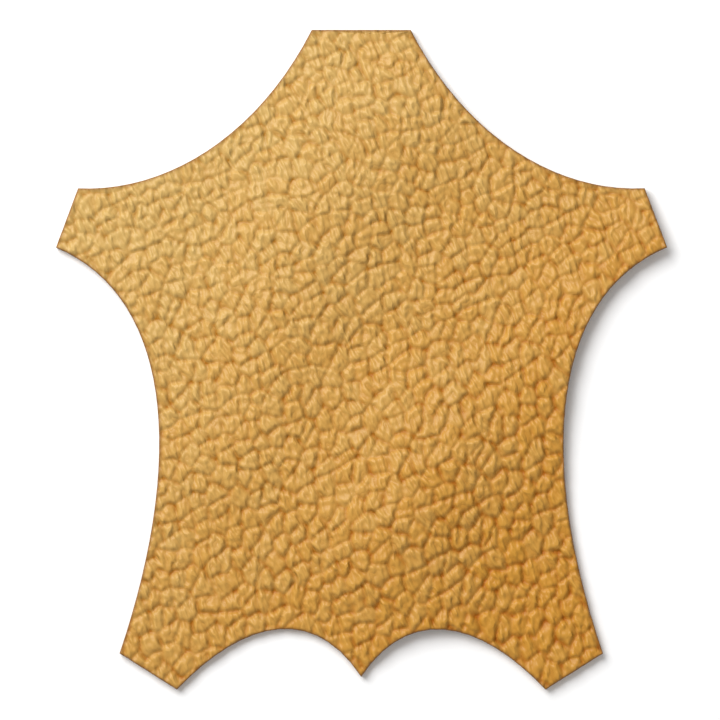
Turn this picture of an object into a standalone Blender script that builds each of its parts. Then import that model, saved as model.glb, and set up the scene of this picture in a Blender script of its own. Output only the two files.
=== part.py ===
"""Leather hide: one sheet of leather cut to the outline of a skin and laid flat, grain side up.

Frame: metres, +Z up, +Y towards the neck. The origin is the centre of the outline's box, on the
surface that the sheet lies on. Sizes below are in millimetres.

The sheet is one closed body. Its underside lies flat, but for three soft swells that lift it off
the surface. Its grain side follows the underside one thickness higher, and the cut edge is
rounded over where it meets the grain.
"""

import math

import bmesh
import bpy
from mathutils import Vector
from mathutils.geometry import delaunay_2d_cdt, interpolate_bezier

MM = 0.001

# Sheet
THICKNESS = 2.0
EDGE_ROUND = 0.4
EDGE_ROUND_STEPS = 2

# Right half of the outline, from the neck down to the tail
NECK_CORNER = (10.5, 70.0)
FORE_SHANK_TOP = (60.1, 36.4)
FORE_SHANK_BOTTOM = (64.8, 23.8)
HIND_SHANK_OUTER = (51.3, -62.3)
HIND_SHANK_INNER = (39.1, -70.0)
TAIL_TIP = (0.0, -67.3)

# Pull points of the three hollow sweeps between those corners
SHOULDER_SWEEP = ((22.1, 47.3), (41.5, 35.5))
FLANK_SWEEP = ((40.7, 13.7), (36.9, -19.7))
RUMP_SWEEP = ((26.0, -56.2), (10.8, -50.9))

# Soft swells. Columns: crest start, crest bend, crest end, half width across the crest, height
SWELLS = (
    ((6.0, 48.0), (-18.0, 29.0), (-22.0, -17.0), 23.0, 1.8),
    ((11.0, -15.0), (11.0, -24.0), (0.0, -35.0), 23.0, 2.3),
    ((74.0, 28.0), (3.0, -40.0), (12.0, -49.0), 23.0, 1.8),
)
CREST_STEPS = 48

# Mesh
POINT_STEP = 3.2
RIM_CLEARANCE = 0.62
CUT_TOLERANCE = 1e-6

# Finish of the pigmented grain
TAN = (0.597, 0.319, 0.080, 1.0)
GRAIN_ROUGHNESS = 0.55
SHARP_EDGE = math.radians(50)


def clear_scene():
    for obj in list(bpy.data.objects):
        bpy.data.objects.remove(obj, do_unlink=True)


def straight(start, end):
    """Points from start up to, but not including, end, one step apart."""
    start, end = Vector(start), Vector(end)
    count = max(1, round((end - start).length / POINT_STEP))
    return [start.lerp(end, index / count) for index in range(count)]


def sweep(start, pulls, end):
    """Points along a smooth sweep from start up to, but not including, end."""
    start, first, second, end = map(Vector, (start, *pulls, end))
    around = (first - start).length + (second - first).length + (end - second).length
    length = (around + (end - start).length) / 2
    count = round(length / POINT_STEP)
    return interpolate_bezier(start, first, second, end, count + 1)[:-1]


def skin_outline():
    """The whole outline, anticlockwise from the tail tip, as a closed loop of plane points."""
    neck_middle = (0.0, NECK_CORNER[1])
    half = straight(neck_middle, NECK_CORNER)
    half += sweep(NECK_CORNER, SHOULDER_SWEEP, FORE_SHANK_TOP)
    half += straight(FORE_SHANK_TOP, FORE_SHANK_BOTTOM)
    half += sweep(FORE_SHANK_BOTTOM, FLANK_SWEEP, HIND_SHANK_OUTER)
    half += straight(HIND_SHANK_OUTER, HIND_SHANK_INNER)
    half += sweep(HIND_SHANK_INNER, RUMP_SWEEP, TAIL_TIP)
    half.append(Vector(TAIL_TIP))
    mirrored = [Vector((-point.x, point.y)) for point in half[1:-1]]
    return list(reversed(half)) + mirrored


def is_inside(point, loop):
    crossings = 0
    for index, end in enumerate(loop):
        start = loop[index - 1]
        if (start.y > point.y) != (end.y > point.y):
            along = (point.y - start.y) / (end.y - start.y)
            crossings += point.x < start.x + along * (end.x - start.x)
    return crossings % 2 == 1


def inner_points(loop):
    """Points in staggered rows, one step apart, that keep clear of the loop."""
    row_step = POINT_STEP * math.sqrt(3) / 2
    rows = math.ceil(NECK_CORNER[1] / row_step)
    columns = math.ceil(FORE_SHANK_BOTTOM[0] / POINT_STEP)
    clear = RIM_CLEARANCE * POINT_STEP
    points = []
    for row in range(-rows, rows + 1):
        shift = POINT_STEP / 2 if row % 2 else 0.0
        for column in range(-columns, columns + 1):
            point = Vector((column * POINT_STEP + shift, row * row_step))
            near = min((point - other).length for other in loop)
            if near > clear and is_inside(point, loop):
                points.append(point)
    return points


def crest_line(start, bend, end):
    """Points along the arched crest of a swell."""
    start, bend, end = Vector(start), Vector(bend), Vector(end)
    points = []
    for index in range(CREST_STEPS + 1):
        along = index / CREST_STEPS
        points.append(start.lerp(bend, along).lerp(bend.lerp(end, along), along))
    return points


def lift(point, crests):
    """Height of the underside: nothing on the flat, and a rounded swell near each crest."""
    height = 0.0
    for line, half_width, crest_height in crests:
        near = min((point - other).length for other in line) / half_width
        if near < 1.0:
            height += crest_height * (1.0 - near * near) ** 2
    return height


def flat_net():
    """The cut outline filled with near-even triangles: their corners in the plane, and the faces."""
    outline = skin_outline()
    flat, _, faces, _, _, _ = delaunay_2d_cdt(
        outline + inner_points(outline), [], [list(range(len(outline)))], 1, CUT_TOLERANCE
    )
    return flat, faces


def raise_thickness(bm):
    """Extrudes the underside into the full sheet, and returns the edges round its grain side."""
    extruded = bmesh.ops.extrude_face_region(bm, geom=bm.faces[:])["geom"]
    grain_side = {item for item in extruded if isinstance(item, bmesh.types.BMFace)}
    corners = [item for item in extruded if isinstance(item, bmesh.types.BMVert)]
    bmesh.ops.translate(bm, verts=corners, vec=(0.0, 0.0, THICKNESS * MM))
    bmesh.ops.recalc_face_normals(bm, faces=bm.faces[:])
    return [edge for edge in bm.edges if sum(face in grain_side for face in edge.link_faces) == 1]


def sheet_mesh(name):
    """One closed sheet: swelling underside, grain side, cut edge and the rounding above it."""
    crests = [(crest_line(*ends), half_width, height) for *ends, half_width, height in SWELLS]
    flat, faces = flat_net()
    bm = bmesh.new()
    corners = [bm.verts.new((p.x * MM, p.y * MM, lift(p, crests) * MM)) for p in flat]
    for face in faces:
        bm.faces.new([corners[index] for index in face])
    rim = raise_thickness(bm)
    bmesh.ops.bevel(
        bm,
        geom=rim,
        offset=EDGE_ROUND * MM,
        segments=EDGE_ROUND_STEPS,
        profile=0.5,
        affect="EDGES",
        material=-1,
    )
    mesh = bpy.data.meshes.new(name)
    bm.to_mesh(mesh)
    bm.free()
    return mesh


def grain_leather():
    material = bpy.data.materials.new("TanGrainLeather")
    material.use_nodes = True
    shader = material.node_tree.nodes["Principled BSDF"]
    shader.inputs["Base Color"].default_value = TAN
    shader.inputs["Roughness"].default_value = GRAIN_ROUGHNESS
    shader.inputs["Metallic"].default_value = 0.0
    return material


def build():
    clear_scene()
    mesh = sheet_mesh("hide")
    mesh.materials.append(grain_leather())
    mesh.shade_smooth()
    mesh.set_sharp_from_angle(angle=SHARP_EDGE)
    hide = bpy.data.objects.new("hide", mesh)
    bpy.context.scene.collection.objects.link(hide)


build()
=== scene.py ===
"""Dresses the hide sample: pebble grain, cut edge, flesh side and studio, in the CAD part's own frame."""

import logging
import math
from dataclasses import dataclass
from enum import Enum, IntEnum

import bmesh
import bpy
import numpy as np
from mathutils import Matrix, Vector


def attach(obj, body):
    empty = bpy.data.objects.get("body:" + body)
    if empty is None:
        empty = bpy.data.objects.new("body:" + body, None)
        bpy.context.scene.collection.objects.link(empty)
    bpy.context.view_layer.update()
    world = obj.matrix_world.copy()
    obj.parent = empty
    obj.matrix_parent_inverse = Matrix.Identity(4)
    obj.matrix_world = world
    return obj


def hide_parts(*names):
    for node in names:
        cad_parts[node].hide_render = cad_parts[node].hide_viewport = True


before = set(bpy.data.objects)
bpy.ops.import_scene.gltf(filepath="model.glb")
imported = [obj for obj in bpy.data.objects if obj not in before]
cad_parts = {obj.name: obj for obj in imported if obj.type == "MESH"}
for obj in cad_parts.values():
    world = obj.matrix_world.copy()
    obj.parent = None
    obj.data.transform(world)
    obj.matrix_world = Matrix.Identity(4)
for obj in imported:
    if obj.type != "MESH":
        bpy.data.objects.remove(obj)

log = logging.getLogger("hide_scene")

MM = 0.001
CUBIC_CM = 1e-6

NOISE_REACH = 0.25  # how far a noise texture mostly swings either side of its middle, 0.5
MIX_LOW, MIX_HIGH, MIX_COLOUR = 6, 7, 2  # a colour Mix node's two colour inputs and its output

# Factors of the integer hash that stands in for a random number generator
HASH_COLUMN, HASH_ROW, HASH_CHANNEL = 374761393, 668265263, 974711
HASH_STEPS = ((13, 1274126177), (16, 2246822519))
HASH_END = 15
LOW_31_BITS = 0x7FFFFFFF
LOW_24_BITS = 0xFFFFFF
ROW_KEY = 131  # one number stands for a bump: its column, and this much for each row
TINY = 1e-6


class Side(Enum):
    """The three surfaces that one piece of leather shows, by their place in its material slots."""

    GRAIN = 0
    CUT_EDGE = 1
    FLESH = 2


class Draw(IntEnum):
    """The independent sets of random numbers that the grain draws on."""

    WANDER = 1  # and the five after it
    PEBBLES = 10  # and the five after it
    ROW_DEPTH = 17
    LEAN_X = 31
    LEAN_Y = 32
    LIFT = 33
    SHADE = 51


def linear(hex_colour: str) -> tuple[float, float, float, float]:
    """Turns an sRGB hex value into linear colour.

    Args:
        hex_colour: Six hex digits, such as "c99850".

    Returns:
        Linear red, green, blue and an alpha of 1.
    """
    channels = [int(hex_colour[place : place + 2], 16) / 255 for place in (0, 2, 4)]
    red, green, blue = (c / 12.92 if c <= 0.04045 else ((c + 0.055) / 1.055) ** 2.4 for c in channels)
    return red, green, blue, 1.0


def feed(tree: bpy.types.NodeTree, node: bpy.types.Node, inputs: dict) -> None:
    """Links or sets inputs of a node.

    Args:
        tree: The material's node tree.
        node: The node.
        inputs: Input name or number to the output socket, or the plain value, that it takes.
    """
    for name, value in inputs.items():
        if isinstance(value, bpy.types.NodeSocket):
            tree.links.new(value, node.inputs[name])
        else:
            node.inputs[name].default_value = value


def add_node(tree: bpy.types.NodeTree, kind: str, inputs: dict | None = None, **settings) -> bpy.types.Node:
    """Adds one shader node with its settings and what feeds it.

    Args:
        tree: The material's node tree.
        kind: Blender's node type, such as "ShaderNodeBump".
        inputs: Input name or number to the output socket, or the plain value, that it takes.
        settings: The node's own properties.

    Returns:
        The new node.
    """
    node = tree.nodes.new(kind)
    for name, value in settings.items():
        setattr(node, name, value)
    feed(tree, node, inputs or {})
    return node


def eased(value: np.ndarray, low: float, high: float) -> np.ndarray:
    """Runs smoothly from 0 where the value is low to 1 where it is high.

    Args:
        value: Numbers of any size.
        low: The value that gives 0.
        high: The value that gives 1, above low or below it.

    Returns:
        A number from 0 to 1 for each value.
    """
    share = np.clip((value - low) / (high - low), 0.0, 1.0)
    return share * share * (3.0 - 2.0 * share)


def dice(column: np.ndarray, row: np.ndarray, channel: int) -> np.ndarray:
    """An even random number for each whole (column, row), always the same one.

    Args:
        column: Whole numbers.
        row: Whole numbers.
        channel: Picks one of several independent sets of numbers.

    Returns:
        A number from 0 to 1 for each pair.
    """
    mixed = column.astype(np.int64) * HASH_COLUMN + row.astype(np.int64) * HASH_ROW
    mixed = mixed + channel * HASH_CHANNEL
    for shift, factor in HASH_STEPS:
        mixed = (mixed ^ (mixed >> shift)) * factor & LOW_31_BITS
    return ((mixed ^ (mixed >> HASH_END)) & LOW_24_BITS) / float(LOW_24_BITS + 1)


def swing(column: np.ndarray, row: np.ndarray, channel: int) -> np.ndarray:
    """An even random number for each whole (column, row), always the same one.

    Args:
        column: Whole numbers.
        row: Whole numbers.
        channel: Picks one of several independent sets of numbers.

    Returns:
        A number from -1 to 1 for each pair.
    """
    return 2.0 * dice(column, row, channel) - 1.0


def soft_noise(x: np.ndarray, y: np.ndarray, wavelength: float, channel: int) -> np.ndarray:
    """Smooth noise over the plane.

    Args:
        x: Places, in millimetres.
        y: Places, in millimetres.
        wavelength: Distance between the noise's own grid points, in millimetres.
        channel: Picks one of several independent noises.

    Returns:
        A number from -1 to 1 for each place.
    """
    column, row = np.floor(x / wavelength), np.floor(y / wavelength)
    across, along = eased(x / wavelength - column, 0.0, 1.0), eased(y / wavelength - row, 0.0, 1.0)
    low = dice(column, row, channel) * (1 - across) + dice(column + 1, row, channel) * across
    high = dice(column, row + 1, channel) * (1 - across) + dice(column + 1, row + 1, channel) * across
    return 2.0 * (low * (1 - along) + high * along) - 1.0


@dataclass(frozen=True)
class Cells:
    """Where each place lies among the bumps of a grain, one number a place in every field."""

    crease: np.ndarray  # how deep in a crease, from 0 to 1
    pit: np.ndarray  # the same for the second crease, so high where creases cross
    rim: np.ndarray  # millimetres to the nearest crease
    aside: np.ndarray  # millimetres from here to the bump's middle, along X
    above: np.ndarray  # the same along Y
    column: np.ndarray
    row: np.ndarray


@dataclass(frozen=True)
class BumpLayout:
    """How the bumps of a grain stand in rows, and how deep the creases between them are."""

    width: float  # millimetres from bump to bump along a row
    height: float  # millimetres from row to row
    scatter: float  # share of its place by which a bump strays, 0.5 at most
    lean: float  # sideways step of a column for each step up
    narrow: float  # above 1 makes the bumps narrower than they are tall
    crease_width: float  # millimetres
    crease_sharpness: float
    faintest: float  # the weakest crease's share of the strongest one's depth
    channel: int
    order_grip: float = 0.5  # share of a bump's stray across the rows that full order takes away
    order_pull: float = 0.5  # how much farther, in full order, a place above or below a bump counts
    row_calm: float = 0.35  # how much shallower the creases within a row are where the row is deep
    faint_spread: float = 0.7  # width of a crease without depth, in crease widths
    deep_spread: float = 0.6  # and what full depth adds

    def cells(
        self, u: np.ndarray, v: np.ndarray, climb: np.ndarray, order: np.ndarray, row_force: np.ndarray
    ) -> Cells:
        """Finds each place's bump and creases.

        Args:
            u: Places along the rows, in bumps.
            v: Places across the rows, in rows.
            climb: Slope of the rows there.
            order: From 0, where bumps stray freely, to 1, where they keep to their rows.
            row_force: From 0 to 1, how much deeper the creases between rows are made.

        Returns:
            The cells.
        """
        base_row = np.floor(v)
        row_stray = self.scatter * (1.0 - self.order_grip * order)
        flatness = self.order_pull * order
        bumps = []
        for row_step in (-1, 0, 1):
            row = base_row + row_step
            slip = dice(np.zeros_like(row), row, self.channel)
            base_column = np.floor(u + slip)
            for column_step in (-1, 0, 1):
                column = base_column + column_step
                off_u = self.scatter * swing(column, row, self.channel + 1)
                off_v = row_stray * swing(column, row, self.channel + 2)
                along = (column + 0.5 + off_u - slip - u) * self.width
                across = (row + 0.5 + off_v - v) * self.height
                aside = (along + self.lean * across) / (1.0 - self.lean * climb)
                above = (across + climb * along) / (1.0 - self.lean * climb)
                reach = (aside * self.narrow) ** 2 + (above / self.narrow) ** 2 + flatness * across**2
                bumps.append((reach, aside, above, column, row))
        nearest = np.argmin(np.stack([bump[0] for bump in bumps]), axis=0)[None]
        own = [np.take_along_axis(np.stack(values), nearest, 0)[0] for values in zip(*bumps)]
        own_reach, own_aside, own_above, own_column, own_row = own
        crease, pit = np.zeros_like(u), np.zeros_like(u)
        rim = np.full_like(u, self.width)
        for reach, aside, above, column, row in bumps:
            is_own = (column == own_column) & (row == own_row)
            apart = np.hypot((aside - own_aside) * self.narrow, (above - own_above) / self.narrow)
            gap = np.where(is_own, self.width, (reach - own_reach) / (2.0 * np.maximum(apart, TINY)))
            key, own_key = column + ROW_KEY * row, own_column + ROW_KEY * own_row
            force = dice(np.minimum(key, own_key), np.maximum(key, own_key), self.channel + 5)
            force = self.faintest + (1.0 - self.faintest) * force
            within_row = force * (1.0 - self.row_calm * row_force)
            force = np.where(row == own_row, within_row, force + (1.0 - force) * row_force)
            spread = self.crease_width * (self.faint_spread + self.deep_spread * force)
            depth = force * np.exp(-((np.maximum(gap, 0.0) / spread) ** self.crease_sharpness))
            pit = np.maximum(pit, np.minimum(crease, depth))
            crease = np.maximum(crease, depth)
            rim = np.minimum(rim, gap)
        return Cells(crease, pit, rim, own_aside, own_above, own_column, own_row)


@dataclass(frozen=True)
class Relief:
    """The grain at each place: its height, and what the finish needs to know."""

    height: np.ndarray  # millimetres over the sheet's mean surface
    crease: np.ndarray  # 0 to 1, where the pigment pools and shade is painted
    shade: np.ndarray  # 0 to 1, each pebble's own


@dataclass(frozen=True)
class MilledGrain:
    """The pebble grain that drum milling breaks into the leather. Sizes are in millimetres."""

    pebbles: BumpLayout = BumpLayout(
        width=3.0,
        height=3.5,
        scatter=0.38,
        lean=0.5,
        narrow=1.2,
        crease_width=0.33,
        crease_sharpness=1.6,
        faintest=0.35,
        channel=Draw.PEBBLES,
    )
    wanders: tuple[tuple[float, float], ...] = ((20.0, 1.0), (6.5, 0.7), (2.2, 0.32))  # length, reach
    wander_stretch: float = 1.15  # how much longer the rows' wandering up and down is than sideways
    low_climb: float = 0.36  # slope of the rows at the hind shanks
    high_climb: float = 0.48  # and at the neck
    climb_span: tuple[float, float] = (-60.0, 25.0)  # places along Y between which it changes
    row_stretch: float = 0.0012  # half the share by which rows widen with each millimetre downwards
    dome: float = 0.62  # how high a pebble rises from its rim
    dome_width: float = 1.2  # from its rim to its flat crown
    crease_depth: float = 0.2
    pit_depth: float = 0.2  # what is added where creases cross
    tilt: float = 0.08  # steepest lean of a pebble, as a slope
    unevenness: float = 0.01  # by which a pebble stands higher or lower
    row_emphasis: float = 0.95  # how much deeper the creases between rows are
    row_run: float = 0.2  # steps of the noise per pebble, so the depth changes every five or so
    row_jump: float = 7.3  # and per row, far enough for each row to be its own
    row_marks: tuple[float, float] = (-0.6, 0.3)  # noise that makes a row no deeper, and fully deep
    most_order: float = 1.0  # how strictly the pebbles on the right of the shoulder keep to their rows
    least_order: float = 0.7  # and those farthest from there
    order_place: tuple[float, float] = (20.0, 22.0)  # where they do so most strictly
    order_reach: tuple[float, float] = (34.0, 30.0)  # one reach from there, across and up
    order_fade: tuple[float, float] = (1.3, 0.3)  # reaches at which the order is least and most
    calmest: float = 0.7  # share of the full relief that is left at the left fore shank
    calm_way: tuple[float, float] = (0.6, -0.8)  # direction from there to the right hind shank
    calm_span: tuple[float, float] = (-60.0, 50.0)  # places along it between which the relief grows
    crease_pigment_and_shade: float = 0.55  # how much of the darker colour, pooled pigment and painted shade, a crease of full depth takes
    pit_pigment_and_shade: float = 0.6  # and how much more where creases cross
    soften: int = 1  # rounds of smoothing, each 0.2 mm wide

    def rows(self, x: np.ndarray, y: np.ndarray) -> tuple[np.ndarray, np.ndarray, np.ndarray]:
        """Wanders the straight rows into natural ones.

        Args:
            x: Places, in millimetres.
            y: Places, in millimetres.

        Returns:
            The strayed x and y, and the slope of the rows there.
        """
        stray_x, stray_y = x.copy(), y.copy()
        for number, (length, reach) in enumerate(self.wanders):
            channel = Draw.WANDER + 2 * number
            stray_x += reach * soft_noise(x, y, length, channel)
            stray_y += reach * soft_noise(x, y, self.wander_stretch * length, channel + 1)
        climb = self.low_climb + (self.high_climb - self.low_climb) * eased(y, *self.climb_span)
        return stray_x, stray_y, climb

    def order(self, x: np.ndarray, y: np.ndarray) -> np.ndarray:
        """How strictly pebbles keep to their rows: most on the right of the shoulder.

        Args:
            x: Places, in millimetres.
            y: Places, in millimetres.

        Returns:
            A number from 0 to 1 for each place.
        """
        place_x, place_y = self.order_place
        reach_x, reach_y = self.order_reach
        near = eased(np.hypot((x - place_x) / reach_x, (y - place_y) / reach_y), *self.order_fade)
        return self.least_order + (self.most_order - self.least_order) * near

    def row_force(self, u: np.ndarray, v: np.ndarray, order: np.ndarray) -> np.ndarray:
        """How much deeper the crease between rows is made: it comes and goes along each row.

        Args:
            u: Places along the rows, in bumps.
            v: Places across the rows, in rows.
            order: How strictly pebbles keep to their rows there.

        Returns:
            A number from 0 to 1 for each place.
        """
        depth = soft_noise(self.row_run * u, self.row_jump * np.floor(v + 0.5), 1.0, Draw.ROW_DEPTH)
        return self.row_emphasis * order * eased(depth, *self.row_marks)

    def relief(self, x: np.ndarray, y: np.ndarray) -> Relief:
        """Works out the grain.

        Args:
            x: Places, in millimetres.
            y: Places, in millimetres.

        Returns:
            The relief at each place.
        """
        stray_x, stray_y, climb = self.rows(x, y)
        order = self.order(x, y)
        size = self.pebbles
        u = (stray_x - size.lean * stray_y) / size.width
        v = (stray_y + self.row_stretch * stray_y**2 - climb * stray_x) / size.height
        pebbles = size.cells(u, v, climb, order, self.row_force(u, v, order))

        crown = 1.0 - (1.0 - np.clip(pebbles.rim / self.dome_width, 0.0, 1.0)) ** 2
        lean_x = swing(pebbles.column, pebbles.row, Draw.LEAN_X)
        lean_y = swing(pebbles.column, pebbles.row, Draw.LEAN_Y)
        lift = self.unevenness * swing(pebbles.column, pebbles.row, Draw.LIFT)
        tilt = self.tilt * (lean_x * pebbles.aside + lean_y * pebbles.above)
        height = self.dome * crown + (tilt + lift) * (1.0 - pebbles.crease)
        height -= self.crease_depth * pebbles.crease + self.pit_depth * pebbles.pit
        way_x, way_y = self.calm_way
        strength = self.calmest + (1.0 - self.calmest) * eased(way_x * x + way_y * y, *self.calm_span)
        # The share of the darker crease colour: partly pooled pigment, partly painted shade.
        pigment = self.crease_pigment_and_shade * pebbles.crease + self.pit_pigment_and_shade * pebbles.pit
        crease = np.clip(pigment, 0.0, 1.0) * strength
        shade = dice(pebbles.column, pebbles.row, Draw.SHADE)
        return Relief((height - height.mean()) * strength, crease, shade)


def new_material(name: str) -> tuple[bpy.types.Material, bpy.types.NodeTree, bpy.types.Node]:
    """Starts a material that has only its shader and its output.

    Args:
        name: The real material's name.

    Returns:
        The material, its node tree and its shader.
    """
    made = bpy.data.materials.new(name)
    made.use_nodes = True
    tree = made.node_tree
    tree.nodes.clear()
    shader = add_node(tree, "ShaderNodeBsdfPrincipled")
    add_node(tree, "ShaderNodeOutputMaterial", {"Surface": shader.outputs["BSDF"]})
    return made, tree, shader


@dataclass(frozen=True)
class PigmentedGrain:
    """Milled chrome-tanned leather: tan pigment under a thin satin top coat.

    The creases, and the valleys between the fine pleats of each pebble, are painted darker and redder:
    partly pigment that pools there, partly painted shade; the crowns keep the paler colour. Across the
    hide the tan is painted paler and more golden towards the key light, a painted lighting gradient.
    The top coat is satin, so light glances softly off the side of each pebble that faces it. Sizes are
    in millimetres.
    """

    # The tan runs from rich to pale: paler towards the key light, a painted lighting gradient, and on random
    # pebbles and clouds. The crease colours run the same way.
    lit_and_spotted_pale: str = "c19e5c"
    rich: str = "c08931"
    lit_and_spotted_pale_crease: str = "9b6606"
    rich_crease: str = "9f5800"
    lit_side_angle: float = 137.0  # degrees round from +X to where the tan is painted palest, towards the key light
    lit_side_reach: float = 63.0  # millimetres from the middle to where the painted gradient is palest, and richest on the far side
    rim: str = "7e5220"
    crease_share: float = 0.95  # how much of the crease colour, partly pooled pigment and partly painted shade, shows in the deepest crease
    valley_share: float = 0.25  # and in the deepest valley between pleats, where it is partly painted shade too
    valley_edge: float = 1.5  # above 1 keeps the valleys' colour to their deepest part
    dotted: float = 0.5  # how much deeper a crease's colour, partly painted shade, is where a valley meets it
    roughness: float = 0.4
    crease_matt: float = 0.25  # what a crease adds to it
    specular: float = 0.25
    cloud: float = 16.0  # across the broad shifts of the dye
    cloud_detail: float = 3.0
    cloud_roughness: float = 0.55
    spotting: float = 0.26  # share of the way from rich to pale by which pebbles and clouds differ
    pleat_width: float = 1.15
    pleat_length: float = 2.1
    pleat_lean: float = 22.0  # degrees to the left of upright
    pleat_height: float = 0.4
    pleat_detail: float = 0.3
    pleat_stray: float = 0.25  # by which a pleat wanders sideways
    pleat_stray_length: float = 6.0  # and over what length
    wrinkle: float = 0.5  # between the finest wrinkles
    wrinkle_squash: float = 0.5  # below 1 draws them out up and down the hide
    wrinkle_detail: float = 1.0
    wrinkle_height: float = 0.04

    def pleats(self, tree: bpy.types.NodeTree, place: bpy.types.NodeSocket) -> bpy.types.NodeSocket:
        """Draws the fine upright pleats into which milling folds each pebble.

        Args:
            tree: The material's node tree.
            place: The place to draw.

        Returns:
            The pleats' height, from 0 in a valley to 1 on a crown.
        """
        drift = add_node(
            tree,
            "ShaderNodeTexNoise",
            {"Vector": place, "Scale": 1 / (self.pleat_stray_length * MM), "Detail": 0.0},
            noise_dimensions="2D",
        ).outputs["Color"]
        reach = self.pleat_stray * MM / NOISE_REACH
        stray = add_node(
            tree,
            "ShaderNodeVectorMath",
            {0: drift, 1: (reach, reach, 0.0), 2: place},
            operation="MULTIPLY_ADD",
        ).outputs["Vector"]
        turned = add_node(
            tree,
            "ShaderNodeMapping",
            {"Vector": stray, "Rotation": (0.0, 0.0, -math.radians(self.pleat_lean))},
        ).outputs["Vector"]
        per_pleat = 1 / (self.pleat_width * MM), 1 / (self.pleat_length * MM), 0.0
        stretched = add_node(
            tree, "ShaderNodeMapping", {"Vector": turned, "Scale": per_pleat}
        ).outputs["Vector"]
        rise = add_node(
            tree,
            "ShaderNodeTexNoise",
            {"Vector": stretched, "Scale": 1.0, "Detail": self.pleat_detail},
            noise_dimensions="2D",
        ).outputs["Fac"]
        return add_node(
            tree,
            "ShaderNodeMapRange",
            {"Value": rise, "From Min": 0.5 - NOISE_REACH, "From Max": 0.5 + NOISE_REACH},
        ).outputs[0]

    def dye(
        self, tree: bpy.types.NodeTree, place: bpy.types.NodeSocket, shade: bpy.types.NodeSocket
    ) -> tuple[bpy.types.NodeSocket, bpy.types.NodeSocket]:
        """Paints the tan paler towards the key light, a painted lighting gradient, with clouds and a shade
        for each pebble.

        Args:
            tree: The material's node tree.
            place: The place on the hide.
            shade: Each pebble's own shade, from 0 to 1.

        Returns:
            The colour on the pebbles, and the colour where the pigment pools and shade is painted.
        """
        cloud = add_node(
            tree,
            "ShaderNodeTexNoise",
            {
                "Vector": place,
                "Scale": 1 / (self.cloud * MM),
                "Detail": self.cloud_detail,
                "Roughness": self.cloud_roughness,
            },
        ).outputs["Fac"]
        # Painted lighting gradient: paler towards the key light at the upper left.
        angle = math.radians(self.lit_side_angle)
        across = add_node(
            tree,
            "ShaderNodeVectorMath",
            {0: place, 1: (math.cos(angle), math.sin(angle), 0.0)},
            operation="DOT_PRODUCT",
        ).outputs["Value"]
        lit_and_spotted_pale = add_node(
            tree,
            "ShaderNodeMapRange",
            {"Value": across, "From Min": -self.lit_side_reach * MM, "From Max": self.lit_side_reach * MM},
        ).outputs[0]
        spots = add_node(tree, "ShaderNodeMath", {0: shade, 1: cloud}, operation="ADD").outputs[0]
        lit_and_spotted_pale = add_node(
            tree, "ShaderNodeMath", {0: spots, 1: self.spotting, 2: lit_and_spotted_pale}, operation="MULTIPLY_ADD"
        ).outputs[0]
        lit_and_spotted_pale = add_node(
            tree, "ShaderNodeMath", {0: lit_and_spotted_pale, 1: self.spotting}, operation="SUBTRACT", use_clamp=True
        ).outputs[0]
        on_pebbles, in_creases = (
            add_node(
                tree,
                "ShaderNodeMix",
                {0: lit_and_spotted_pale, MIX_LOW: linear(rich), MIX_HIGH: linear(pale)},
                data_type="RGBA",
            ).outputs[MIX_COLOUR]
            for rich, pale in ((self.rich, self.lit_and_spotted_pale), (self.rich_crease, self.lit_and_spotted_pale_crease))
        )
        return on_pebbles, in_creases

    def folds(
        self, tree: bpy.types.NodeTree, place: bpy.types.NodeSocket, pleat: bpy.types.NodeSocket
    ) -> bpy.types.NodeSocket:
        """Raises the pleats, and the finest wrinkles on them.

        Args:
            tree: The material's node tree.
            place: The place on the hide.
            pleat: The pleats' height, from 0 to 1.

        Returns:
            The surface's direction.
        """
        squashed = add_node(
            tree, "ShaderNodeMapping", {"Vector": place, "Scale": (1.0, self.wrinkle_squash, 1.0)}
        ).outputs[0]
        wrinkle = add_node(
            tree,
            "ShaderNodeTexNoise",
            {"Vector": squashed, "Scale": 1 / (self.wrinkle * MM), "Detail": self.wrinkle_detail},
        ).outputs["Fac"]
        pleated = add_node(
            tree, "ShaderNodeBump", {"Height": pleat, "Distance": self.pleat_height * MM}
        ).outputs[0]
        return add_node(
            tree,
            "ShaderNodeBump",
            {"Height": wrinkle, "Distance": self.wrinkle_height * MM, "Normal": pleated},
        ).outputs[0]

    def material(self) -> bpy.types.Material:
        """Builds the material."""
        made, tree, shader = new_material("PigmentedMilledLeather")
        place = add_node(tree, "ShaderNodeTexCoord").outputs["Object"]
        grain = add_node(tree, "ShaderNodeAttribute", attribute_name="grain").outputs["Color"]
        parts = add_node(tree, "ShaderNodeSeparateColor", {"Color": grain}).outputs
        crease, shade, rim_darkening = parts["Red"], parts["Green"], parts["Blue"]
        pleat = self.pleats(tree, place)
        dyed_and_lit, pooled_and_shaded = self.dye(tree, place, shade)

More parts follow.
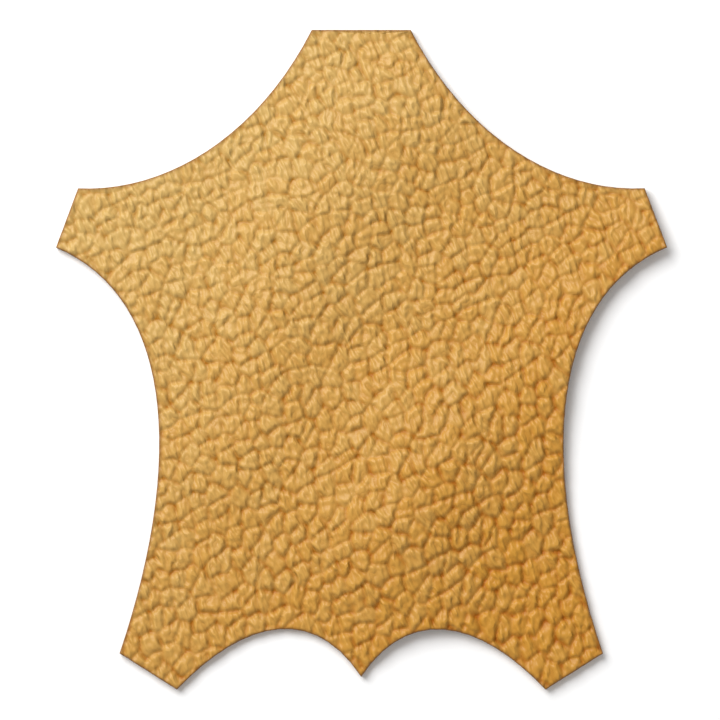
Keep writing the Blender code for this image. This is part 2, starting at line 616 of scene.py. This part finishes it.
        # The creases and the valleys between pleats take the darker colour: partly pooled pigment, partly
        # painted shade.
        valley = add_node(tree, "ShaderNodeMath", {0: 1.0, 1: pleat}, operation="SUBTRACT").outputs[0]
        dots = add_node(
            tree,
            "ShaderNodeMath",
            {0: valley, 1: 2 * self.dotted, 2: 1 - self.dotted},
            operation="MULTIPLY_ADD",
        ).outputs[0]
        dotted = add_node(tree, "ShaderNodeMath", {0: crease, 1: dots}, operation="MULTIPLY").outputs[0]
        valley = add_node(
            tree, "ShaderNodeMath", {0: valley, 1: self.valley_edge}, operation="POWER"
        ).outputs[0]
        valley = add_node(
            tree, "ShaderNodeMath", {0: valley, 1: self.valley_share}, operation="MULTIPLY"
        ).outputs[0]
        share = add_node(
            tree,
            "ShaderNodeMath",
            {0: dotted, 1: self.crease_share, 2: valley},
            operation="MULTIPLY_ADD",
            use_clamp=True,
        ).outputs[0]
        colour = add_node(
            tree, "ShaderNodeMix", {0: share, MIX_LOW: dyed_and_lit, MIX_HIGH: pooled_and_shaded}, data_type="RGBA"
        ).outputs[MIX_COLOUR]
        colour = add_node(
            tree,
            "ShaderNodeMix",
            {0: rim_darkening, MIX_LOW: colour, MIX_HIGH: linear(self.rim)},
            data_type="RGBA",
        ).outputs[MIX_COLOUR]
        roughness = add_node(
            tree,
            "ShaderNodeMath",
            {0: crease, 1: self.crease_matt, 2: self.roughness},
            operation="MULTIPLY_ADD",
        ).outputs[0]
        feed(tree, shader, {"Base Color": colour, "Roughness": roughness})
        feed(tree, shader, {"Specular IOR Level": self.specular, "Normal": self.folds(tree, place, pleat)})
        return made


@dataclass(frozen=True)
class RawCutEdge:
    """The die's cut through the leather: packed collagen fibres, matt and pale, with darker gaps between.

    Sizes are in millimetres.
    """

    fibre: str = "c79a5e"
    shadow: str = "8f6231"
    spacing: float = 0.35  # between bundles of fibre
    height: float = 0.08
    detail: float = 4.0
    coarseness: float = 0.65  # how strongly the noise's finer layers show
    roughness: float = 0.9
    specular: float = 0.2

    def material(self) -> bpy.types.Material:
        """Builds the material."""
        made, tree, shader = new_material("RawCutLeatherFibre")
        place = add_node(tree, "ShaderNodeTexCoord").outputs["Object"]
        fibre = add_node(
            tree,
            "ShaderNodeTexNoise",
            {
                "Vector": place,
                "Scale": 1 / (self.spacing * MM),
                "Detail": self.detail,
                "Roughness": self.coarseness,
            },
        ).outputs["Fac"]
        colour = add_node(
            tree,
            "ShaderNodeMix",
            {0: fibre, MIX_LOW: linear(self.shadow), MIX_HIGH: linear(self.fibre)},
            data_type="RGBA",
        ).outputs[MIX_COLOUR]
        bump = add_node(tree, "ShaderNodeBump", {"Height": fibre, "Distance": self.height * MM}).outputs[0]
        feed(tree, shader, {"Base Color": colour, "Normal": bump})
        feed(tree, shader, {"Roughness": self.roughness, "Specular IOR Level": self.specular})
        return made


@dataclass(frozen=True)
class BuffedFlesh:
    """The flesh side, split and buffed: a short, pale, matt suede nap in tufts, with a soft edge sheen.

    Sizes are in millimetres.
    """

    nap: str = "d8b27e"
    brushed: str = "a97c48"
    nap_spacing: float = 0.3  # between hairs of the nap
    nap_height: float = 0.12
    tuft_spacing: float = 1.3  # between the tufts that they lie in
    tuft_height: float = 0.2
    brush_spacing: float = 9.0  # across a brushed patch
    detail: float = 3.0
    coarseness: float = 0.65  # how strongly the noises' finer layers show
    tangle: float = 0.5
    lie_span: tuple[float, float] = (0.5, 1.0)  # lie of the nap that looks fully brushed, and fully raised
    roughness: float = 0.95
    specular: float = 0.15
    sheen: float = 0.35
    sheen_roughness: float = 0.5

    def material(self) -> bpy.types.Material:
        """Builds the material."""
        made, tree, shader = new_material("BuffedSuedeFleshSide")
        place = add_node(tree, "ShaderNodeTexCoord").outputs["Object"]
        look = {"Detail": self.detail, "Roughness": self.coarseness, "Distortion": self.tangle}
        nap, tuft, brushed = (
            add_node(
                tree, "ShaderNodeTexNoise", {"Vector": place, "Scale": 1 / (size * MM), **look}
            ).outputs["Fac"]
            for size in (self.nap_spacing, self.tuft_spacing, self.brush_spacing)
        )
        lie = add_node(
            tree, "ShaderNodeMath", {0: nap, 1: tuft, 2: brushed}, operation="MULTIPLY_ADD"
        ).outputs[0]
        low, high = self.lie_span
        spread = add_node(
            tree, "ShaderNodeMapRange", {"Value": lie, "From Min": low, "From Max": high}
        ).outputs[0]
        colour = add_node(
            tree,
            "ShaderNodeMix",
            {0: spread, MIX_LOW: linear(self.brushed), MIX_HIGH: linear(self.nap)},
            data_type="RGBA",
        ).outputs[MIX_COLOUR]
        tufted = add_node(
            tree, "ShaderNodeBump", {"Height": tuft, "Distance": self.tuft_height * MM}
        ).outputs[0]
        bump = add_node(
            tree,
            "ShaderNodeBump",
            {"Height": nap, "Distance": self.nap_height * MM, "Normal": tufted},
        ).outputs[0]
        feed(tree, shader, {"Base Color": colour, "Normal": bump})
        feed(tree, shader, {"Roughness": self.roughness, "Specular IOR Level": self.specular})
        feed(tree, shader, {"Sheen Weight": self.sheen, "Sheen Roughness": self.sheen_roughness})
        return made


@dataclass(frozen=True)
class Swell:
    """A soft fold that lifts the sheet off the surface along an arched crest. Sizes in millimetres."""

    start: tuple[float, float]
    bend: tuple[float, float]
    end: tuple[float, float]
    half_width: float
    height: float
    crest_steps: int = 48

    def lift(self, x: np.ndarray, y: np.ndarray) -> np.ndarray:
        """Height of the underside there.

        Args:
            x: Places.
            y: Places.

        Returns:
            The height at each place.
        """
        nearest = np.full_like(x, np.inf)
        for step in range(self.crest_steps + 1):
            along = step / self.crest_steps
            weights = ((1 - along) ** 2, 2 * along * (1 - along), along**2)
            crest_x, crest_y = np.dot(weights, (self.start, self.bend, self.end))
            nearest = np.minimum(nearest, np.hypot(x - crest_x, y - crest_y))
        return self.height * (1.0 - np.minimum(nearest / self.half_width, 1.0) ** 2) ** 2


@dataclass(frozen=True)
class CutLine:
    """The closed line of the die's cut, as the ends of its straight steps, in millimetres."""

    starts: np.ndarray
    ends: np.ndarray

    @classmethod
    def of_edges(cls, edges: list[bmesh.types.BMEdge]) -> "CutLine":
        """Reads the line from the edges of a mesh.

        Args:
            edges: The edges, in any order.

        Returns:
            The line.
        """
        ends = np.array([[corner.co.xy / MM for corner in edge.verts] for edge in edges])
        return cls(ends[:, 0], ends[:, 1])

    def distance(self, x: np.ndarray, y: np.ndarray) -> np.ndarray:
        """Millimetres from each place to the line: positive inside the hide, negative outside.

        Args:
            x: Places.
            y: Places.

        Returns:
            The distance of each place.
        """
        nearest = np.full_like(x, np.inf)
        inside = np.zeros(x.shape, dtype=bool)
        for (x0, y0), (x1, y1) in zip(self.starts, self.ends):
            run_x, run_y = x1 - x0, y1 - y0
            share = np.clip(((x - x0) * run_x + (y - y0) * run_y) / (run_x**2 + run_y**2), 0.0, 1.0)
            nearest = np.minimum(nearest, np.hypot(x - x0 - share * run_x, y - y0 - share * run_y))
            if run_y:
                crosses = ((y0 > y) != (y1 > y)) & (x < x0 + (y - y0) * run_x / run_y)
                inside ^= crosses
        return np.where(inside, nearest, -nearest)


@dataclass
class HideSheet:
    """The one piece of leather: its lie, its cut edge and its three surfaces. Sizes are in millimetres.

    While it is made, each point holds two numbers: "share", how far up the cut wall it lies, from 0 to 1,
    and "drop", how many millimetres below the full height the rounding keeps it.
    """

    name: str = "hide_leather"
    solid: str = "hide"
    thickness: float = 2.0
    merge: float = 0.001  # joins the solid's split corners
    flesh_facing: float = -0.9  # the solid's faces that look farther down than this are its flesh side
    wall_rows: int = 2
    edge_round: float = 0.4
    round_angles: tuple[float, ...] = (30.0, 60.0, 90.0)
    weld: float = 0.2  # closes the slivers that the rounding leaves at sharp corners
    sharp_angle: float = 50.0  # degrees between faces from which an edge near the cut is crisp
    edge_margin: float = 0.01  # past the rounding, within which an edge still counts as near the cut
    net_angle: float = 30.0  # degrees by which the net's columns slant, for even triangles
    net_step: float = 0.4  # between points of the grain side, fine enough for nine across a pebble
    net_clearance: float = 0.22  # from the rounded rim to the even net
    rim_calm: float = 0.5  # share of the grain's relief that the die presses out along the cut
    rim_calm_width: float = 1.6
    rim_darkening: float = 0.7  # width of the darker line along the rim
    swells: tuple[Swell, ...] = (
        Swell((6.0, 48.0), (-18.0, 29.0), (-22.0, -17.0), 23.0, 1.8),
        Swell((11.0, -15.0), (11.0, -24.0), (0.0, -35.0), 23.0, 2.3),
        Swell((74.0, 28.0), (3.0, -40.0), (12.0, -49.0), 23.0, 1.8),
    )
    grain: MilledGrain = MilledGrain()

    def flesh_side(self, bm: bmesh.types.BMesh) -> tuple[list[bmesh.types.BMEdge], CutLine]:
        """Keeps only the solid's underside, its border cut as finely as the grain side's net.

        Args:
            bm: Holds the solid, and then its underside.

        Returns:
            The border's edges, and the line that they follow.
        """
        bmesh.ops.remove_doubles(bm, verts=bm.verts[:], dist=self.merge * MM)
        upper = [face for face in bm.faces if face.normal.z > self.flesh_facing]
        bmesh.ops.delete(bm, geom=upper, context="FACES")
        border = [edge for edge in bm.edges if edge.is_boundary]
        cut = CutLine.of_edges(border)
        for edge in border:
            cuts = round(edge.calc_length() / (self.net_step * MM)) - 1
            if cuts > 0:
                bmesh.ops.subdivide_edges(bm, edges=[edge], cuts=cuts)
        return [edge for edge in bm.edges if edge.is_boundary], cut

    def cut_edge(self, bm: bmesh.types.BMesh, rim: list[bmesh.types.BMEdge]) -> list[bmesh.types.BMEdge]:
        """Raises the cut wall from the underside's border, and rounds it over towards the grain.

        Args:
            bm: The mesh.
            rim: The underside's border.

        Returns:
            The edges round the opening that the grain side fills.
        """
        share = bm.verts.layers.float["share"]
        for row in range(1, self.wall_rows + 1):
            grown = bmesh.ops.extrude_edge_only(bm, edges=rim)["geom"]
            rim = [item for item in grown if isinstance(item, bmesh.types.BMEdge) and item.is_boundary]
            for corner in {corner for edge in rim for corner in edge.verts}:
                corner[share] = row / self.wall_rows
        top = bmesh.ops.contextual_create(bm, geom=rim)["faces"]
        drop = bm.verts.layers.float["drop"]
        for corner in top[0].verts:
            corner[drop] = self.edge_round
        reached = 0.0
        for angle in self.round_angles:
            turned = math.radians(angle)
            inset = self.edge_round * (1 - math.cos(turned))
            bmesh.ops.inset_region(bm, faces=top, thickness=(inset - reached) * MM, use_even_offset=True)
            reached = inset
            for corner in top[0].verts:
                corner[drop] = self.edge_round * (1 - math.sin(turned))
                corner[share] = 1.0
        last = list(top[0].verts)
        bmesh.ops.delete(bm, geom=top, context="FACES_ONLY")
        bmesh.ops.remove_doubles(bm, verts=last, dist=self.weld * MM)
        opening = [edge for edge in bm.edges if edge.is_boundary]
        log.info("cut edge: %d steps round the opening", len(opening))
        return opening

    def grain_side(
        self, bm: bmesh.types.BMesh, opening: list[bmesh.types.BMEdge], cut: CutLine
    ) -> list[bmesh.types.BMFace]:
        """Fills the opening with an even net of triangles.

        Args:
            bm: The mesh.
            opening: The edges round the opening.
            cut: The line of the cut.

        Returns:
            The new faces.
        """
        share = bm.verts.layers.float["share"]
        reach = np.abs(np.concatenate((cut.starts, cut.ends))).max(axis=0) + self.net_step
        lean = math.tan(math.radians(self.net_angle))
        wide, tall = reach[0] + lean * reach[1], reach[1]
        row_step = self.net_step * math.cos(math.radians(self.net_angle))
        slanted = Matrix(((wide, lean * tall, 0, 0), (0, tall, 0, 0), (0, 0, 1, 0), (0, 0, 0, 1 / MM)))
        corners = bmesh.ops.create_grid(
            bm,
            x_segments=round(2 * wide / self.net_step),
            y_segments=round(2 * tall / row_step),
            size=1.0,
            matrix=slanted * MM,
        )["verts"]
        places = np.array([corner.co.xy for corner in corners]) / MM
        inside = cut.distance(places[:, 0], places[:, 1]) > self.edge_round + self.net_clearance
        outside = [corner for corner, keep in zip(corners, inside) if not keep]
        bmesh.ops.delete(bm, geom=outside, context="VERTS")
        kept = [corner for corner in corners if corner.is_valid]
        loose = [corner for corner in kept if not corner.link_faces]
        bmesh.ops.delete(bm, geom=loose, context="VERTS")
        kept = [corner for corner in kept if corner.is_valid]
        for corner in kept:
            corner[share] = 1.0
        quads = list(dict.fromkeys(face for corner in kept for face in corner.link_faces))
        net = bmesh.ops.triangulate(bm, faces=quads, quad_method="SHORT_EDGE")["faces"]
        border = [edge for face in net for edge in face.edges if edge.is_boundary]
        strip = bmesh.ops.triangle_fill(
            bm, edges=opening + border, use_beauty=True, use_dissolve=False, normal=(0, 0, 1)
        )["geom"]
        strip = [item for item in strip if isinstance(item, bmesh.types.BMFace)]
        log.info("grain side: %d triangles in the net, %d along the rim", len(net), len(strip))
        return net + strip

    def lay(self, mesh: bpy.types.Mesh, cut: CutLine) -> None:
        """Gives every point its height, and tells the finish about the grain there.

        Args:
            mesh: The flat mesh, which is changed.
            cut: The line of the cut.
        """
        count = len(mesh.vertices)
        places = np.empty(3 * count)
        mesh.vertices.foreach_get("co", places)
        places = places.reshape(count, 3)
        x, y = places[:, 0] / MM, places[:, 1] / MM
        share, drop = np.empty(count), np.empty(count)
        mesh.attributes["share"].data.foreach_get("value", share)
        mesh.attributes["drop"].data.foreach_get("value", drop)
        relief = self.grain.relief(x, y)
        from_cut = np.abs(cut.distance(x, y))
        pressed = 1.0 - self.rim_calm * (1.0 - eased(from_cut, 0.0, self.rim_calm_width))
        bumps = self.soften(mesh, relief.height * pressed, self.grain.soften)
        log.info("grain relief: %.2f to %.2f mm, %.3f mm on average", bumps.min(), bumps.max(), bumps.mean())
        lift = sum(swell.lift(x, y) for swell in self.swells)
        wall_height = (self.thickness - self.edge_round + bumps) * share
        rounding = np.where(share < 1.0, 0.0, self.edge_round - drop)
        height = (lift + wall_height + rounding) * MM
        places[:, 2] = np.where(share > 0.0, height, places[:, 2])
        mesh.vertices.foreach_set("co", places.reshape(-1))
        mesh.update()
        self.sharpen(mesh, from_cut < self.edge_round + self.edge_margin)
        rim_darkening = 1.0 - eased(from_cut, 0.0, self.rim_darkening)
        colours = np.stack((relief.crease, relief.shade, rim_darkening, np.ones(count)), axis=1)
        grain = mesh.color_attributes.new("grain", "FLOAT_COLOR", "POINT")
        grain.data.foreach_set("color", colours.reshape(-1))
        for name in ("share", "drop", "custom_normal"):
            if name in mesh.attributes:
                mesh.attributes.remove(mesh.attributes[name])
        mesh.update()

    def sharpen(self, mesh: bpy.types.Mesh, near_cut: np.ndarray) -> None:
        """Keeps the shading crisp at the cut's corners and round the flesh side, and soft on the grain.

        Args:
            mesh: The mesh, which is changed.
            near_cut: True at each of its points that lies on the cut wall or its rounding.
        """
        bm = bmesh.new()
        bm.from_mesh(mesh)
        for edge in bm.edges:
            if all(near_cut[corner.index] for corner in edge.verts):
                edge.smooth = edge.calc_face_angle(0.0) < math.radians(self.sharp_angle)
        log.info("crisp edges: %d", sum(not edge.smooth for edge in bm.edges))
        bm.to_mesh(mesh)
        bm.free()

    def soften(self, mesh: bpy.types.Mesh, height: np.ndarray, rounds: int) -> np.ndarray:
        """Evens out the heights of neighbouring points, which rounds creases and domes alike.

        Args:
            mesh: The mesh.
            height: The height at each of its points.
            rounds: How often each point moves halfway to its neighbours' mean.

        Returns:
            The softened heights.
        """
        ends = np.empty(2 * len(mesh.edges), dtype=np.int32)
        mesh.edges.foreach_get("vertices", ends)
        start, end = ends[::2], ends[1::2]
        count = len(height)
        neighbours = np.bincount(start, minlength=count) + np.bincount(end, minlength=count)
        for _ in range(rounds):
            total = np.bincount(start, height[end], count) + np.bincount(end, height[start], count)
            height = 0.5 * (height + total / neighbours)
        return height

    def build(self) -> bpy.types.Object:
        """Builds the piece and dresses it.

        Returns:
            The piece.
        """
        bm = bmesh.new()
        bm.from_mesh(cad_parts[self.solid].data)
        for name in ("share", "drop"):
            bm.verts.layers.float.new(name)
        rim, cut = self.flesh_side(bm)
        flesh = set(bm.faces)
        opening = self.cut_edge(bm, rim)
        sides = set(bm.faces) - flesh
        top = self.grain_side(bm, opening, cut)
        share = bm.verts.layers.float["share"]
        rounded = {face for face in sides if all(corner[share] >= 1 for corner in face.verts)}
        for face in bm.faces:
            face.smooth = True
            face.material_index = Side.FLESH.value if face in flesh else Side.GRAIN.value
        for face in sides - rounded:
            face.material_index = Side.CUT_EDGE.value
        bmesh.ops.triangulate(bm, faces=bm.faces[:])
        self.list_by_points(bm)
        mesh = bpy.data.meshes.new(self.name)
        bm.to_mesh(mesh)
        bm.free()
        self.lay(mesh, cut)
        piece = bpy.data.objects.new(self.name, mesh)
        bpy.context.scene.collection.objects.link(piece)
        for finish in (PigmentedGrain(), RawCutEdge(), BuffedFlesh()):  # in the order of Side
            mesh.materials.append(finish.material())
        self.measure(mesh)
        return piece

    def list_by_points(self, bm: bmesh.types.BMesh) -> None:
        """Lists edges and faces by their points, because the extrusion lists them anew in each run."""
        bm.verts.index_update()
        count = len(bm.verts)
        for items in (bm.edges, bm.faces):
            items.sort(
                key=lambda item: sum(
                    index * count**place
                    for place, index in enumerate(sorted(corner.index for corner in item.verts))
                )
            )

    def measure(self, mesh: bpy.types.Mesh) -> None:
        """Logs the mesh's triangles, whether it is a closed skin, and its volume."""
        bm = bmesh.new()
        bm.from_mesh(mesh)
        closed = all(edge.is_manifold for edge in bm.edges)
        log.info("%s: %d triangles, closed: %s", self.name, len(bm.faces), closed)
        log.info("volume %.2f cubic cm", bm.calc_volume(signed=True) / CUBIC_CM)
        bm.free()


@dataclass
class Studio:
    """A pale paper floor, a soft key from the upper left, an even white room, and a camera straight above.

    Lengths are in metres.
    """

    floor_colour: str = "f4f4f4"
    floor_roughness: float = 0.9
    floor_half: float = 1.5
    floor_drop: float = 0.0002  # keeps the floor just clear of the flesh side
    key_azimuth: float = 132.0  # degrees round from +X towards +Y
    key_elevation: float = 48.0  # degrees above the floor
    key_distance: float = 0.7
    key_size: float = 0.5
    key_power: float = 6.56  # watts
    world_strength: float = 0.46
    centre: tuple[float, float] = (-0.000265, -0.00004)  # the camera's place over the hide
    aim_height: float = 0.0025
    view_width: float = 0.1526  # what the camera sees across at that height
    lens: float = 200.0  # millimetres, as is the sensor
    sensor: float = 36.0
    farthest: float = 10.0

    def floor(self) -> None:
        """Lays the floor."""
        bm = bmesh.new()
        bmesh.ops.create_grid(bm, x_segments=1, y_segments=1, size=self.floor_half)
        bmesh.ops.translate(bm, verts=bm.verts[:], vec=(0.0, 0.0, -self.floor_drop))
        mesh = bpy.data.meshes.new("studio_floor")
        bm.to_mesh(mesh)
        bm.free()
        made, tree, shader = new_material("MattPaperSweep")
        feed(tree, shader, {"Base Color": linear(self.floor_colour), "Roughness": self.floor_roughness})
        mesh.materials.append(made)
        floor = bpy.data.objects.new("studio_floor", mesh)
        bpy.context.scene.collection.objects.link(floor)

    def key(self) -> None:
        """Adds the soft square light, which looks at the hide."""
        data = bpy.data.lights.new("key", "AREA")
        data.size = self.key_size
        data.energy = self.key_power
        key = bpy.data.objects.new("key", data)
        around, up = math.radians(self.key_azimuth), math.radians(self.key_elevation)
        towards = Vector((math.cos(around) * math.cos(up), math.sin(around) * math.cos(up), math.sin(up)))
        key.location = towards * self.key_distance
        key.rotation_euler = towards.to_track_quat("Z", "Y").to_euler()
        key.visible_camera = False
        bpy.context.scene.collection.objects.link(key)

    def world(self) -> None:
        """Sets the even light of the white room."""
        world = bpy.data.worlds.new("white_room")
        world.use_nodes = True
        background = world.node_tree.nodes["Background"]
        background.inputs["Color"].default_value = (1.0, 1.0, 1.0, 1.0)
        background.inputs["Strength"].default_value = self.world_strength
        bpy.context.scene.world = world

    def camera(self) -> None:
        """Puts a long lens straight above the hide."""
        data = bpy.data.cameras.new("camera")
        data.lens = self.lens
        data.sensor_width = self.sensor
        data.clip_end = self.farthest
        camera = bpy.data.objects.new("camera", data)
        camera.location = (*self.centre, self.aim_height + self.view_width * self.lens / self.sensor)
        bpy.context.scene.collection.objects.link(camera)
        bpy.context.scene.camera = camera

    def build(self) -> None:
        """Sets the whole stage."""
        self.floor()
        self.key()
        self.world()
        self.camera()
        bpy.context.scene.view_settings.view_transform = "Standard"


def main() -> None:
    """Builds the piece and the stage."""
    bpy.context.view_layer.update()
    sheet = HideSheet()
    piece = sheet.build()
    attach(piece, "root")
    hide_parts(sheet.solid)
    Studio().build()


if __name__ == "__main__":
    logging.basicConfig(level=logging.INFO, format="%(message)s")
    main()
